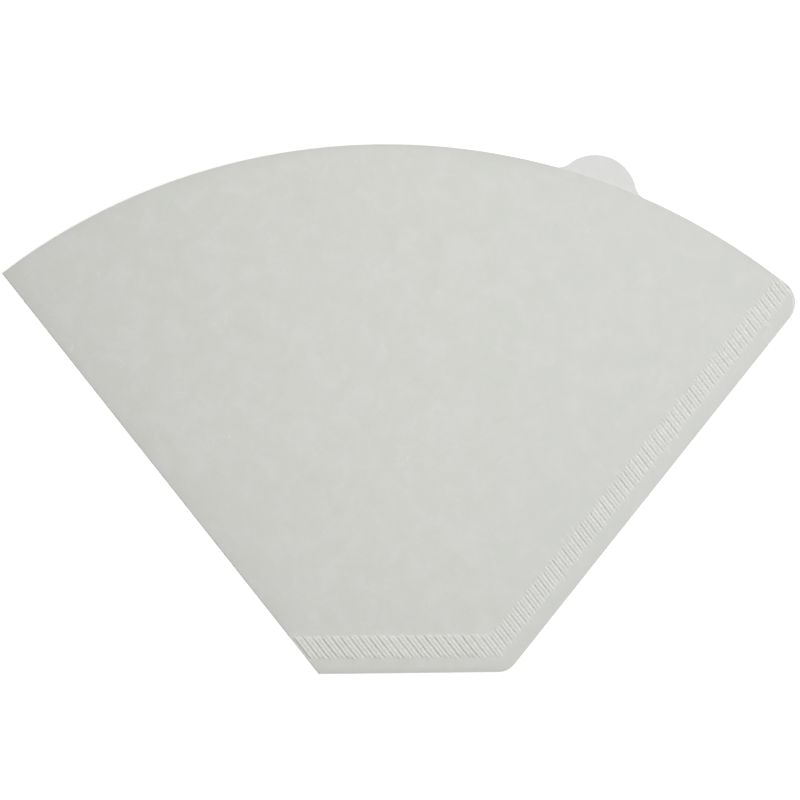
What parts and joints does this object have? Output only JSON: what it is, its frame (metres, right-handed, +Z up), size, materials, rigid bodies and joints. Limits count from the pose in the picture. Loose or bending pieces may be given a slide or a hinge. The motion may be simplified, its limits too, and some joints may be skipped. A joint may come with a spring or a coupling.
{
  "type": "paper coffee filter",
  "caption": "Flat cone filter of folded paper, crimped along its seam and bottom, open at the curved mouth, with a round tab on the back layer to part the layers.",
  "frame": {"origin": "on the surface that the filter lies on, under the middle of its outline's box", "axes": "+Y from the bottom crimp towards the mouth, +X from the fold towards the crimped seam, +Z up out of the front layer"},
  "size_m": [0.1966, 0.1312, 0.0018],
  "materials": {
    "paper": "matte"
  },
  "bodies": {
    "root": {"filter_paper": "paper"}
  },
  "joints": []
}
